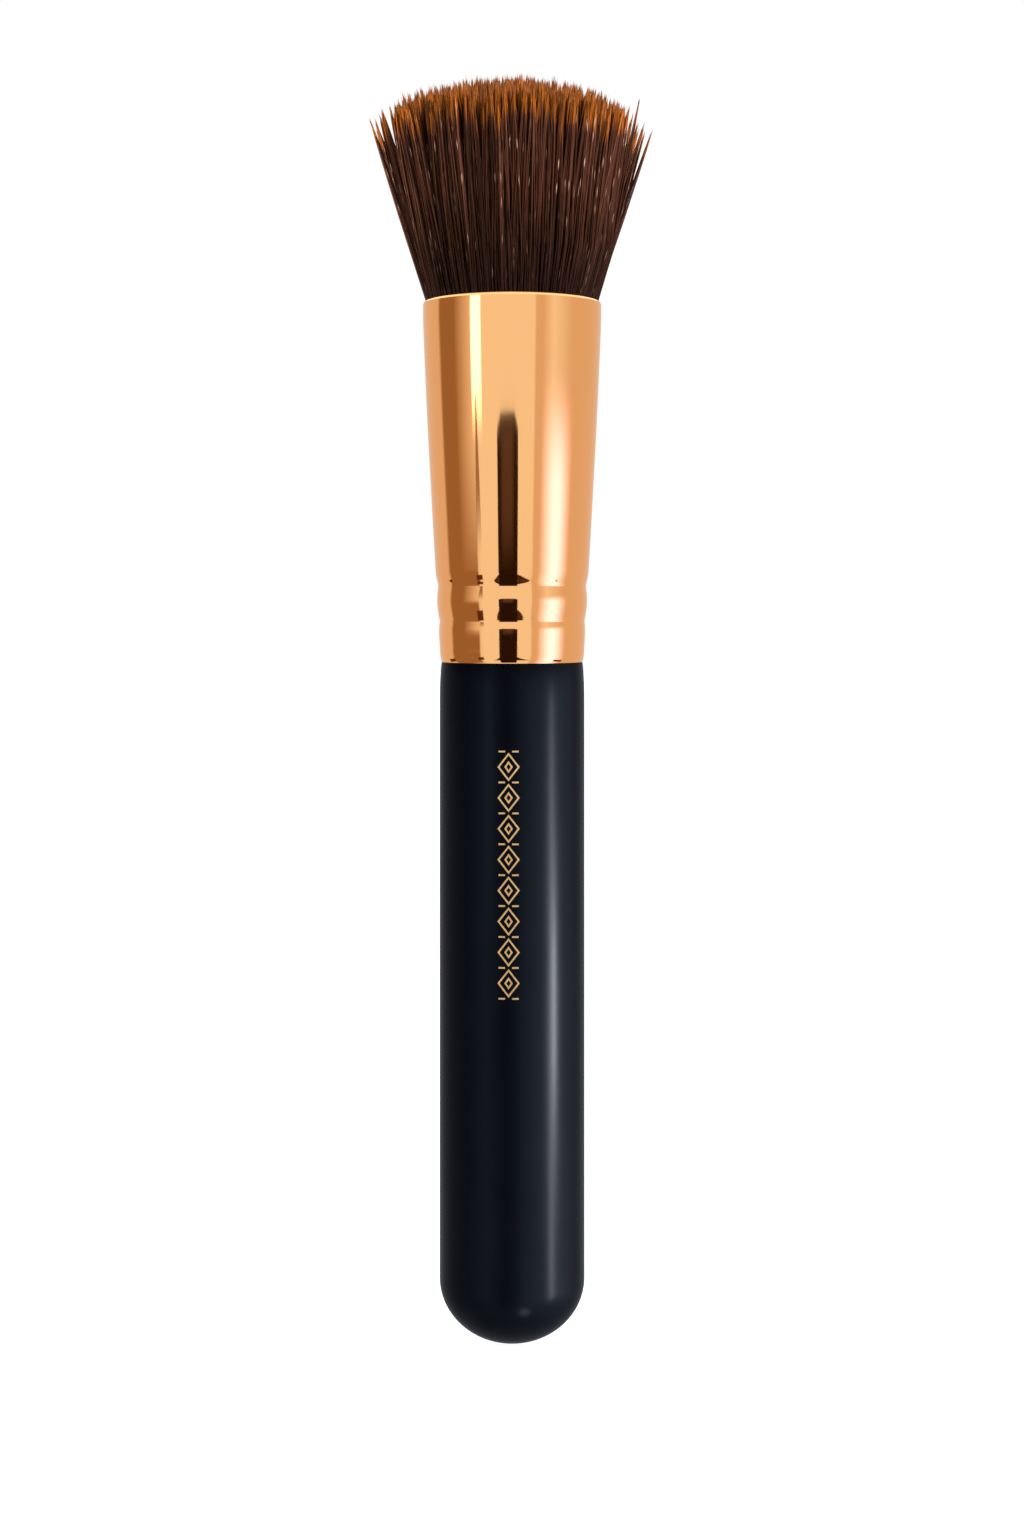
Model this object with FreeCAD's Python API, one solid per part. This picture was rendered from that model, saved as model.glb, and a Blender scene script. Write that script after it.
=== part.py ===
import FreeCAD, Part
import math
import os

from FreeCAD import Vector

# Kabuki makeup brush in millimetres, standing upright with +Z up.
# The origin is the lowest point of the handle's rounded end, on the brush's axis.

# Handle, turned in one piece of wood and lacquered all over
handle_length = 90.0
handle_radius = 9.6
end_dome_height = 8.35
end_round_share = 0.87
shoulder_height = 6.0
shoulder_drop = 0.24

# Tenon, the peg on the handle's top that carries the ferrule
tenon_length = 22.0
tenon_chamfer = 0.8
neck_height = 1.0
neck_flare_height = 1.5

# Ferrule, one spun sheet-metal sleeve. Each rise is counted outwards from the station below, each height upwards.
ferrule_length = 47.6
ferrule_wall = 0.4
foot_inset = 0.04
foot_flare_rise = 0.25
foot_flare_height = 1.35
throat_height = 0.6
lower_band_rise = 0.12
lower_band_height = 2.85
lower_groove_depth = 0.08
lower_groove_height = 1.18
upper_band_rise = 0.35
upper_band_height = 2.6
upper_groove_depth = 0.15
upper_groove_height = 2.0
cone_foot_rise = 0.33
cone_foot_height = 1.95
mouth_radius = 11.83
mouth_collar_height = 2.9
lip_height = 0.8
lip_rounding = 0.2
lip_shoulder_height = 0.45
lip_shoulder_rounding = 0.06

# Resin plug and thread tie, which hold the roots of the hair inside the ferrule
plug_floor = 2.0
plug_rim = 1.0
root_depth = 3.0
tie_gap = 1.0
thread_diameter = 0.55
thread_valley = 0.14
thread_turns = 3

# Head of hair, laid up as one centre lock and rings of locks around it
hair_out_length = 24.5
head_radius = 18.9
crown_rise = 4.0
tip_height = 3.4
tip_stagger = 1.1
ring_count = 6
locks_per_ring_step = 6
centre_lock_sides = 6

# Shares of a lock's own cell: how full it is, where its corners lie, and how far its tip wanders
lock_fill_share = 0.96
inner_corner_share = 0.7
outer_corner_share = 0.92
tip_out_share = 0.35
tip_wander_share = 0.45

# Fit of each inner piece in the one around it
fit_clearance = 0.05

# The turn from one lock to the next in the uneven spread of their tips
wander_angle = math.radians(137.5)


def above(station, rise, height):
    """The (radius, height) station that lies a rise outwards and a height upwards of another."""
    return station[0] + rise, station[1] + height


# Stations up the ferrule's outside, each as (radius, height)
foot = (handle_radius - shoulder_drop - foot_inset, handle_length)
lower_edge = above(foot, foot_flare_rise, foot_flare_height)
lower_band = above(lower_edge, lower_band_rise, lower_band_height)
lower_groove = above(lower_band, -lower_groove_depth, lower_groove_height)
upper_band = above(lower_groove, upper_band_rise, upper_band_height)
upper_groove = above(upper_band, -upper_groove_depth, upper_groove_height)
cone_foot = above(upper_groove, cone_foot_rise, cone_foot_height)
mouth_height = handle_length + ferrule_length
collar_top = (mouth_radius, mouth_height - lip_height)
collar_foot = (mouth_radius, collar_top[1] - mouth_collar_height)
lip_shoulder = above(collar_top, -lip_shoulder_rounding, lip_shoulder_height)
lip_edge = (mouth_radius - lip_rounding, mouth_height)

# Heights and radii of what seats inside the ferrule
neck_radius = foot[0] - ferrule_wall - fit_clearance
tenon_radius = lower_groove[0] - ferrule_wall - fit_clearance
tenon_top = handle_length + tenon_length
root_height = tenon_top + plug_floor
plug_top = root_height + root_depth
tie_bottom = plug_top + tie_gap
tie_top = tie_bottom + thread_turns * thread_diameter

# Heights of the hair's rim and of its crown
rim_height = mouth_height + hair_out_length


def bore_radius(height):
    """Inside radius of the ferrule's cone at a height."""
    share = (height - cone_foot[1]) / (collar_foot[1] - cone_foot[1])
    return cone_foot[0] + share * (collar_foot[0] - cone_foot[0]) - ferrule_wall


root_radius = bore_radius(root_height) - plug_rim - 2 * fit_clearance
hair_mouth_radius = mouth_radius - ferrule_wall - fit_clearance


def bundle_radius(height):
    """Outside radius of the hair: squeezed inside the ferrule, and flaring above its mouth."""
    if height <= mouth_height:
        share = (height - root_height) / (mouth_height - root_height)
        return root_radius + share * (hair_mouth_radius - root_radius)
    share = (height - mouth_height) / hair_out_length
    return hair_mouth_radius + share * (head_radius - hair_mouth_radius)


def point(station):
    return Vector(station[0], 0, station[1])


def straight(*stations):
    """Straight edges through stations of an outline."""
    return [Part.makeLine(point(a), point(b)) for a, b in zip(stations, stations[1:])]


def upright_arc(start, end):
    """An arc that leaves its first station upright and bows over to the other."""
    across = start[0] - end[0]
    along = end[1] - start[1]
    radius = (along ** 2 + across ** 2) / (2 * across)
    turn = math.atan2(along, radius - across) / 2
    middle = (start[0] - radius * (1 - math.cos(turn)), start[1] + radius * math.sin(turn))
    return [Part.Arc(point(start), point(middle), point(end)).toShape()]


def crowned(start, crest, end):
    """A barrel-shaped arc from one station over its crest to another."""
    return [Part.Arc(point(start), point(crest), point(end)).toShape()]


def oval_end(lowest, widest):
    """The outline of the rounded end: a flatter crown arc on the axis, then a tighter arc up into the barrel."""
    height = widest[1] - lowest[1]
    side_round = end_round_share * height
    inset = widest[0] - side_round
    crown_round = (inset ** 2 + height ** 2 - side_round ** 2) / (2 * (height - side_round))
    angle = math.atan2(inset, crown_round - height)
    joint = (crown_round * math.sin(angle), lowest[1] + crown_round * (1 - math.cos(angle)))
    crown = (crown_round * math.sin(angle / 2), lowest[1] + crown_round * (1 - math.cos(angle / 2)))
    rise = (math.pi / 2 - angle) / 2
    side = (inset + side_round * math.cos(rise), widest[1] - side_round * math.sin(rise))
    edges = [Part.Arc(point(lowest), point(crown), point(joint)).toShape()]
    edges.append(Part.Arc(point(joint), point(side), point(widest)).toShape())
    return edges


def turned(edges):
    """A solid of revolution about the brush's axis from the edges of a closed outline."""
    face = Part.Face(Part.Wire(Part.sortEdges(edges)[0]))
    return face.revolve(Vector(0, 0, 0), Vector(0, 0, 1), 360)


def inner(station):
    """The station on the inside of the ferrule's sheet, level with one on its outside."""
    return station[0] - ferrule_wall, station[1]


def handle_side():
    """Edges up the handle's outside, from the end's lowest point to the ledge under the ferrule, and its two ends."""
    lowest = (0, 0)
    widest = (handle_radius, end_dome_height)
    shoulder = (handle_radius, handle_length - shoulder_height)
    ledge = (handle_radius - shoulder_drop, handle_length)
    edges = oval_end(lowest, widest) + straight(widest, shoulder) + upright_arc(shoulder, ledge)
    return edges, lowest, ledge


def handle():
    """The turned handle: round end, barrel, shoulder, ledge, crimped neck and chamfered tenon."""
    edges, lowest, ledge = handle_side()
    neck_top = handle_length + neck_height
    tenon_bottom = neck_top + neck_flare_height
    stations = [ledge, (neck_radius, handle_length), (neck_radius, neck_top), (tenon_radius, tenon_bottom)]
    stations.append((tenon_radius, tenon_top - tenon_chamfer))
    stations += [(tenon_radius - tenon_chamfer, tenon_top), (0, tenon_top), lowest]
    return turned(edges + straight(*stations))


def sleeve_bore():
    """Stations down the ferrule's inside: the cone, the plain bore against the tenon and the foot's inner edge."""
    upper_bore = inner(upper_groove)
    lower_bore = inner(lower_groove)
    throat_top = lower_bore[1] + throat_height
    stations = [inner(collar_foot), inner(cone_foot), upper_bore, (upper_bore[0], throat_top), lower_bore]
    stations += [(lower_bore[0], lower_edge[1]), inner(foot)]
    return stations


def ferrule():
    """The sleeve: foot rolled in over the neck, two bands and two grooves, cone, collar and rounded lip."""
    outside = straight(foot, lower_edge)
    outside += crowned(lower_edge, lower_band, lower_groove)
    outside += crowned(lower_groove, upper_band, upper_groove)
    outside += straight(upper_groove, cone_foot, collar_foot, collar_top, lip_shoulder, lip_edge)
    mouth = (mouth_radius - ferrule_wall, mouth_height)
    return turned(outside + straight(lip_edge, mouth, *sleeve_bore(), foot))


def tenon_glue():
    """The collar of adhesive that fills the ferrule's cone around the tenon."""
    side = tenon_radius + fit_clearance
    low = cone_foot[1]
    high = tenon_top - tenon_chamfer
    outer_low = (bore_radius(low) - fit_clearance, low)
    outer_high = (bore_radius(high) - fit_clearance, high)
    return turned(straight((side, low), (side, high), outer_high, outer_low, (side, low)))


def resin_plug():
    """The cast disc on the tenon's end, with a rim around the roots of the hair."""
    bottom = (bore_radius(tenon_top) - fit_clearance, tenon_top)
    rim_top = (bore_radius(plug_top) - fit_clearance, plug_top)
    seat_radius = bundle_radius(plug_top) + fit_clearance
    seat_top = (seat_radius, plug_top)
    seat_bottom = (seat_radius, root_height)
    stations = [(0, tenon_top), bottom, rim_top, seat_top, seat_bottom, (0, root_height), (0, tenon_top)]
    return turned(straight(*stations))


def root_tie():
    """The tight turns of thread around the bundle, as one ribbed band."""
    inside = bundle_radius(tie_top) + fit_clearance
    crest = inside + thread_diameter
    valley = crest - thread_valley
    stations = [(inside, tie_bottom), (valley, tie_bottom)]
    for turn in range(thread_turns):
        bottom = tie_bottom + turn * thread_diameter
        stations.append((crest, bottom + thread_diameter / 2))
        stations.append((valley, bottom + thread_diameter))
    stations += [(inside, tie_top), (inside, tie_bottom)]
    return turned(straight(*stations))


def lock_corners(ring, index):
    """The corners of a lock's section as (share of the bundle's radius, angle), with the lock's middle."""
    pitch = 1 / (ring_count + 1 / 2)
    half_width = pitch / 2 * lock_fill_share
    if ring == 0:
        side_turn = 2 * math.pi / centre_lock_sides
        corners = [(half_width, side_turn * corner) for corner in range(centre_lock_sides)]
        return corners, (0, 0), half_width
    half_turn = math.pi / (locks_per_ring_step * ring)
    middle = 2 * half_turn * (index + ring / 2)
    shares = [(-1, -inner_corner_share), (1, -outer_corner_share)]
    shares += [(1, outer_corner_share), (-1, inner_corner_share)]
    corners = []
    for across, along in shares:
        radius = ring * pitch + across * half_width
        corners.append((radius, middle + along * half_turn * lock_fill_share))
    return corners, (ring * pitch, middle), half_width


def placed(radius_share, angle, height):
    """A point of the bundle at a share of its radius there."""
    radius = radius_share * bundle_radius(height)
    return Vector(radius * math.cos(angle), radius * math.sin(angle), height)


def lock_tip(ring, middle, half_width, number):
    """The pointed tip of a lock, under the crown's dome, with an uneven height and lean."""
    inward_share = 1 - (ring / ring_count) ** 2
    height = rim_height + crown_rise * inward_share + tip_stagger * math.sin(number * wander_angle)
    wander = tip_wander_share * half_width * math.cos(number * wander_angle)
    radius_share = middle[0] + tip_out_share * half_width + wander
    return placed(radius_share, middle[1], height)


def hair_lock(ring, index, number):
    """One lock, from its root in the resin through the ferrule's mouth and up the flare to its tip."""
    corners, middle, half_width = lock_corners(ring, index)
    tip = lock_tip(ring, middle, half_width, number)
    heights = [root_height, mouth_height, tip.z - tip_height]
    sections = [[placed(share, angle, height) for share, angle in corners] for height in heights]
    loops = [sections[0]]
    for corner in range(len(corners)):
        after = (corner + 1) % len(corners)
        for lower, upper in zip(sections, sections[1:]):
            loops.append([lower[corner], lower[after], upper[after], upper[corner]])
        loops.append([sections[-1][corner], sections[-1][after], tip])
    faces = [Part.Face(Part.makePolygon(loop + loop[:1])) for loop in loops]
    solid = Part.makeSolid(Part.makeShell(faces))
    if solid.Volume < 0:
        solid.reverse()
    return solid


def hair_ring(ring):
    """One ring of separate locks, or the single lock on the axis."""
    count = max(1, locks_per_ring_step * ring)
    before = 1 + locks_per_ring_step * ring * (ring - 1) // 2 if ring else 0
    return Part.makeCompound([hair_lock(ring, index, before + index) for index in range(count)])


def write(node, shape):
    shape.exportStep("parts/" + node + ".step")


os.makedirs("parts", exist_ok=True)
write("handle", handle())
write("ferrule", ferrule())
write("tenon_glue", tenon_glue())
write("resin_plug", resin_plug())
write("root_tie", root_tie())
write("hair_centre", hair_ring(0))
for ring in range(1, ring_count + 1):
    write("hair_ring_" + str(ring), hair_ring(ring))
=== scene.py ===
import math

import bpy
import numpy as np
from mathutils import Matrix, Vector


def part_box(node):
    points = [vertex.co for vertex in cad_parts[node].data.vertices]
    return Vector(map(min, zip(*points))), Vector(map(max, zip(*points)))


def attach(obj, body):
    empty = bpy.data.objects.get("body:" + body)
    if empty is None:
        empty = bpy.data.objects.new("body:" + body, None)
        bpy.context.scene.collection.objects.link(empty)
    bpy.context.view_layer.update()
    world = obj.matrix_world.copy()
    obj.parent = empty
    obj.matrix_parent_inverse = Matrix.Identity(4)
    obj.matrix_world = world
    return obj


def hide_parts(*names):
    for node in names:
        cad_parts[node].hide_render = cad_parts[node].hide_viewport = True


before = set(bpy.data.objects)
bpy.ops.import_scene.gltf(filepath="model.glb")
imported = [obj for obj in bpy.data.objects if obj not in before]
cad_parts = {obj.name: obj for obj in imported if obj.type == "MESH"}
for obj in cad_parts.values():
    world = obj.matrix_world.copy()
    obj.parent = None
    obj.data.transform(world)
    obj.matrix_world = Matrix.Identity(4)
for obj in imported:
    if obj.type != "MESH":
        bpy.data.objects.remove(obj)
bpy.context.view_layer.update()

# Lengths are in millimetres in the part's own frame, and angles in degrees, unless a name says otherwise.
MM = 0.001
SEED = 11
BODY = "root"

# The photograph's frame and the place that it was taken from
IMAGE_WIDTH = 1024
IMAGE_HEIGHT = 1536
FOCAL_PIXELS = 2270
EYE_LEVEL_ROW = 605
AXIS_COLUMN = 512.1
LOWEST_POINT_ROW = 1339.5
PIXEL_SIZE = 0.1328
SENSOR_WIDTH = 36.0
CLIP_NEAR = 10.0
CLIP_FAR = 20000.0

# Studio: a round floor, a ring of light walls around the brush and the lamps
FLOOR_RADIUS = 3000.0
FLOOR_SIDES = 64
FLOOR_ALBEDO = 0.3
FLOOR_GLOW = 0.97
TABLE_SHADE = (0.25, 0.27, 0.32)
TABLE_RADIUS = 40.0
TABLE_DARK_RADIUS = 7.0
TABLE_DROP = 2.0
SURROUND_LEVEL = 1.0
WALL_DISTANCE = 420.0
WALL_STEP_ANGLE = 3.0
NEAR = 100.0

# Lathed pieces
SIDES = 256
CREASE_ANGLE = 38.0

# Handle, above the frame's own lengths
DOME_HEIGHT = 8.35
DOME_ROWS = 30
SHOULDER_HEIGHT = 6.0
SHOULDER_DROP = 0.24
SHOULDER_POWER = 3.0
SHOULDER_ROWS = 12
LEDGE_ROUNDING = 0.1

# Ferrule, as sheet metal
SHEET = 0.4
LIP_ROUNDING = 0.2
SPAN_ROWS = 14
CONE_ROWS = 40
INSIDE_ROW_STEP = 4
COLLAR_HEIGHT = 46.2

# Stations up the ferrule's outside: (radius, height above its foot, radius gained per height)
LOWER_BAND = (
    (9.323, 0.0, 0.45),
    (9.515, 0.77, 0.13),
    (9.575, 1.5, 0.035),
    (9.700, 4.2, 0.0),
    (9.608, 5.38, -0.16),
)
UPPER_BAND = (
    (9.608, 5.38, 0.17),
    (9.960, 8.1, 0.0),
    (9.814, 9.98, -0.14),
)
CONE_FOOT = (
    (9.814, 9.98, 0.05),
    (10.00, 10.95, 0.21),
    (10.15, 11.95, 0.066),
)
CONE = (
    (10.15, 11.95, 0.066),
    (10.66, 20.8, 0.0555),
    (11.22, 31.2, 0.050),
    (11.73, 42.7, 0.040),
)

# Foil ornament on the barrel: a chain of lozenges, as thin raised lines
ORNAMENT_AZIMUTH = -2.7
ORNAMENT_LOW = 46.9
ORNAMENT_LENGTH = 31.8
ORNAMENT_COUNT = 8
ORNAMENT_HALF_WIDTH = 1.3
LOZENGE_SHARE = 0.42
SEED_HALF_WIDTH = 0.42
SEED_HALF_HEIGHT = 0.6
FOIL_LINE = 0.22
FOIL_TOP = 0.03
FOIL_SUNK = -0.05
FOIL_STEPS = 5
BAR_SHARES = (0.35, 0.68, 1.0)

# Head of hair
ROOT_RADIUS = 9.25
MOUTH_GAP = 0.12
HEAD_RADIUS = 18.75
HAIR_OUT_LENGTH = 24.5
CROWN_RISE = 4.2
RIM_LIFT = 0.95
STRAND_COUNT = 13500
STRAND_RADIUS = 0.09
TIP_RADIUS_SHARE = 0.55
TAPER_LENGTH = 3.0
HEAD_DRAW_IN = 0.122
HEAD_DRAW_SIDE = 0.032
DRAW_START = 0.2
DRAW_START_SIDE = 0.08
DRAW_POWER = 0.6
LOCK_PULL = 0.12
WANDER = 0.05
PARTING_AZIMUTHS = (-15.5, -43.0, 24.0)
PARTING_WIDTH = 3.4
# How much darker the strands near a parting are: painted shade down in the gap
PAINTED_PARTING_SHADE = 0.9
PARTING_DEPTH = 1.4
PARTING_REACH = 0.5
FINE_CLUMPS = 1250
COARSE_CLUMPS = 85
GOLDEN_ANGLE = math.radians(137.50776)

# How the strands, their fine clumps and the coarse clumps spread over the head: jitter and reach
SPOT_JITTER = 0.45
SPOT_REACH = 0.992
FINE_JITTER = 0.42
FINE_REACH = 0.985
COARSE_JITTER = 0.35
COARSE_REACH = 0.93

# How heights, bends and gathering vary from clump to clump and from strand to strand
CROWN_JITTER = 0.25
COARSE_HEIGHT_JITTER = 0.12
EDGE_DROP = 1.0
TIP_DROP = 0.15
BOW = 0.20
OUTER_BOW_SHARE = 0.4
STRAY = 0.07
GATHER_RANGE = (0.55, 0.97)
GATHER_POWER = 2.2
CLUMP_SHADE_SHARE = 0.25
STRAND_SIZE_RANGE = (0.7, 1.25)

# Clumps at the edge that stand free of the rest
FREE_REACH = 0.94
FREE_CLUMP_SHARE = 0.2
FREE_DRAW_SHARE = 0.8
FREE_DROP_RANGE = (0.3, 1.8)
FREE_GATHER = 0.90
FREE_GATHER_POWER = 0.9
TAKEN = 9.0

# Wisps that stand free of the head at its two sides: (azimuth, radius at the tip, height of the tip)
SIDE_WISPS = (
    (90, 18.8, 161.0), (95, 17.9, 161.3), (85, 17.7, 161.9), (99, 17.1, 162.6),
    (81, 17.2, 165.0), (91, 16.2, 163.6), (87, 15.7, 164.2),
)
WISP_SHADE = 0.7

# The lock that stands off the head's left side: where it lies, and its tips as (radius, height)
LOCK_AZIMUTH = -90.0
LOCK_HALF_ANGLE = 15.0
LOCK_REACH = 0.9
LOCK_SHARE = 0.85
LOCK_SHADE = 0.55
LOCK_DROP = 0.4
LOCK_TIPS = ((17.3, 163.4), (17.6, 163.0), (18.3, 162.5), (18.9, 162.2))

# Where the rings of each strand lie, as its distance from the tip and as shares of its length above the mouth
TIP_RINGS = (1.0, 2.4, 4.2, 6.5)
MIDDLE_RING_SHARES = (0.5, 0.25)


def at(radius, azimuth, height):
    """A point in metres, at an azimuth counted from the camera's side towards +X."""
    turn = math.radians(azimuth)
    return (radius * math.sin(turn) * MM, -radius * math.cos(turn) * MM, height * MM)


def box(node):
    """The lowest and highest corners of a node of the frame, in millimetres."""
    low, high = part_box(node)
    return low / MM, high / MM


# Places taken from the frame
_, handle_high = box("handle")
ferrule_low, ferrule_high = box("ferrule")
root_low, _ = box("hair_centre")
HANDLE_RADIUS = handle_high.x
LEDGE_HEIGHT = ferrule_low.z
MOUTH_HEIGHT = ferrule_high.z
MOUTH_RADIUS = ferrule_high.x
ROOT_HEIGHT = root_low.z
RIM_HEIGHT = MOUTH_HEIGHT + HAIR_OUT_LENGTH
BORE_RADIUS = MOUTH_RADIUS - SHEET


def link(name, mesh):
    """A new object for a mesh."""
    made = bpy.data.objects.new(name, mesh)
    bpy.context.scene.collection.objects.link(made)
    return made


def piece(name, mesh, material, slot, *nodes):
    """A piece that rides on the body, with a finish, and that may stand for nodes of the frame. Its slot is
    not used.
    """
    mesh.materials.append(material)
    made = link(name, mesh)
    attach(made, BODY)
    if nodes:
        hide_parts(*nodes)
    return made


def add(tree, kind, inputs=None, **settings):
    """A shader node with its settings, and its inputs set to values or linked to other nodes' outputs."""
    made = tree.nodes.new("ShaderNode" + kind)
    for key, value in settings.items():
        setattr(made, key, value)
    for key, value in (inputs or {}).items():
        if isinstance(value, bpy.types.NodeSocket):
            tree.links.new(value, made.inputs[key])
        else:
            made.inputs[key].default_value = value
    return made


def new_material(name):
    """An empty node material and its output node."""
    made = bpy.data.materials.new(name)
    made.use_nodes = True
    made.node_tree.nodes.clear()
    return made, made.node_tree, add(made.node_tree, "OutputMaterial")


def ramp(tree, factor, stops, interpolation="LINEAR"):
    """A colour ramp through (place, colour) stops."""
    made = add(tree, "ValToRGB", {"Fac": factor})
    made.color_ramp.interpolation = interpolation
    elements = made.color_ramp.elements
    while len(elements) < len(stops):
        elements.new(1.0)
    for element, (place, colour) in zip(elements, stops):
        element.position = place
        element.color = (*colour, 1.0)
    return made.outputs["Color"]


def grey(level):
    return (level, level, level)


def levels(tree, factor, stops):
    """A plain number that follows (place, level) stops."""
    top = max(level for _, level in stops)
    shares = ramp(tree, factor, [(place, grey(level / top)) for place, level in stops])
    return add(tree, "Math", {0: shares, 1: top}, operation="MULTIPLY").outputs[0]


def rose_gold():
    """Polished rose-gold plate, with the faint waviness that polishing leaves."""
    made, tree, output = new_material("rose_gold_plate")
    place = add(tree, "TexCoord").outputs["Object"]
    stretched = add(tree, "Mapping", {"Vector": place, "Scale": (1.0, 1.0, 0.25)}).outputs["Vector"]
    waves = add(tree, "TexNoise", {"Vector": stretched, "Scale": 260.0, "Detail": 1.0})
    smears = add(tree, "TexNoise", {"Vector": stretched, "Scale": 900.0, "Detail": 3.0})
    roughness = add(tree, "MapRange", {"Value": smears.outputs["Fac"], "To Min": 0.035, "To Max": 0.075})
    bump = add(tree, "Bump", {"Height": waves.outputs["Fac"], "Strength": 0.06, "Distance": 0.0001})
    shader = add(tree, "BsdfPrincipled", {
        "Base Color": (0.955, 0.515, 0.213, 1.0),
        "Metallic": 1.0,
        "Roughness": roughness.outputs["Result"],
        "Normal": bump.outputs["Normal"],
    })
    tree.links.new(shader.outputs["BSDF"], output.inputs["Surface"])
    return made


def black_lacquer():
    """Satin near-black lacquer over wood, with a fine sprayed texture."""
    made, tree, output = new_material("black_satin_lacquer")
    place = add(tree, "TexCoord").outputs["Object"]
    spray = add(tree, "TexNoise", {"Vector": place, "Scale": 3200.0, "Detail": 2.0})
    cloud = add(tree, "TexNoise", {"Vector": place, "Scale": 120.0, "Detail": 3.0})
    roughness = add(tree, "MapRange", {"Value": cloud.outputs["Fac"], "To Min": 0.23, "To Max": 0.29})
    shades = [(0.3, (0.0014, 0.0018, 0.0032)), (0.7, (0.0021, 0.0026, 0.0043))]
    colour = ramp(tree, cloud.outputs["Fac"], shades)
    bump = add(tree, "Bump", {"Height": spray.outputs["Fac"], "Strength": 0.12, "Distance": 0.00002})
    shader = add(tree, "BsdfPrincipled", {
        "Base Color": colour,
        "Roughness": roughness.outputs["Result"],
        "Specular IOR Level": 0.075,
        "Specular Tint": (0.62, 0.80, 1.0, 1.0),
        "Normal": bump.outputs["Normal"],
    })
    tree.links.new(shader.outputs["BSDF"], output.inputs["Surface"])
    return made


# Strand map: shades run from dark to light along it, and the distance from the tip runs up it
STRAND_COLUMNS = 96
STRAND_SPAN = 60.0
MAP_MARGIN = 0.12
MAP_WIDTH = 0.76
AMBER_END = 3.9
AMBER_SPREAD = 0.9
TIP = (0.095, 0.030, 0.0070)
AMBER = (0.206, 0.060, 0.0065)
DEEP_AMBER = (0.168, 0.050, 0.0085)
TURNING = (0.070, 0.0245, 0.0110)
BROWN = (0.0475, 0.0172, 0.0100)
DYE = [(0.0, TIP), (0.18, AMBER), (0.36, AMBER), (0.62, DEEP_AMBER), (0.82, TURNING), (1.0, BROWN)]
# Painted glints: the pale colour of short highlights painted onto some strands, how many rows of them run
# along the map, the share of cells that get one and how wide one is across a strand
GLINT = (0.70, 0.44, 0.29)
GLINT_ROWS = 40
GLINT_SHARE = 0.11
GLINT_WIDTH = 0.08

# Levels along the strand map: by shade, by depth below the tip (darker deeper down: partly dye, partly
# painted shade of strands hiding each other), and how much depth evens the shades out
SHADES = [
    (0.0, 0.32), (0.15, 0.58), (0.35, 0.84), (0.6, 1.02),
    (0.8, 1.18), (0.9, 1.4), (0.95, 1.6), (1.0, 1.85),
]
DEPTH_DYE_AND_SHADE = [
    (0.0, 1.0), (0.12, 1.0), (0.18, 0.92), (0.22, 0.76),
    (0.27, 0.54), (0.32, 0.36), (0.38, 0.24), (0.50, 0.2),
]
CALM = [(0.0, 1.0), (0.22, 1.0), (0.32, 0.75), (0.45, 0.6)]

# Levels of a painted glint by depth below the tip, and along the glint itself
GLINT_LEVELS = [(0.0, 0.0), (0.05, 0.35), (0.12, 0.45), (0.24, 0.30), (0.36, 0.10), (0.5, 0.0)]
GLINT_ENDS = [(0.0, 0.0), (0.35, 1.0), (0.6, 0.8), (1.0, 0.0)]


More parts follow.
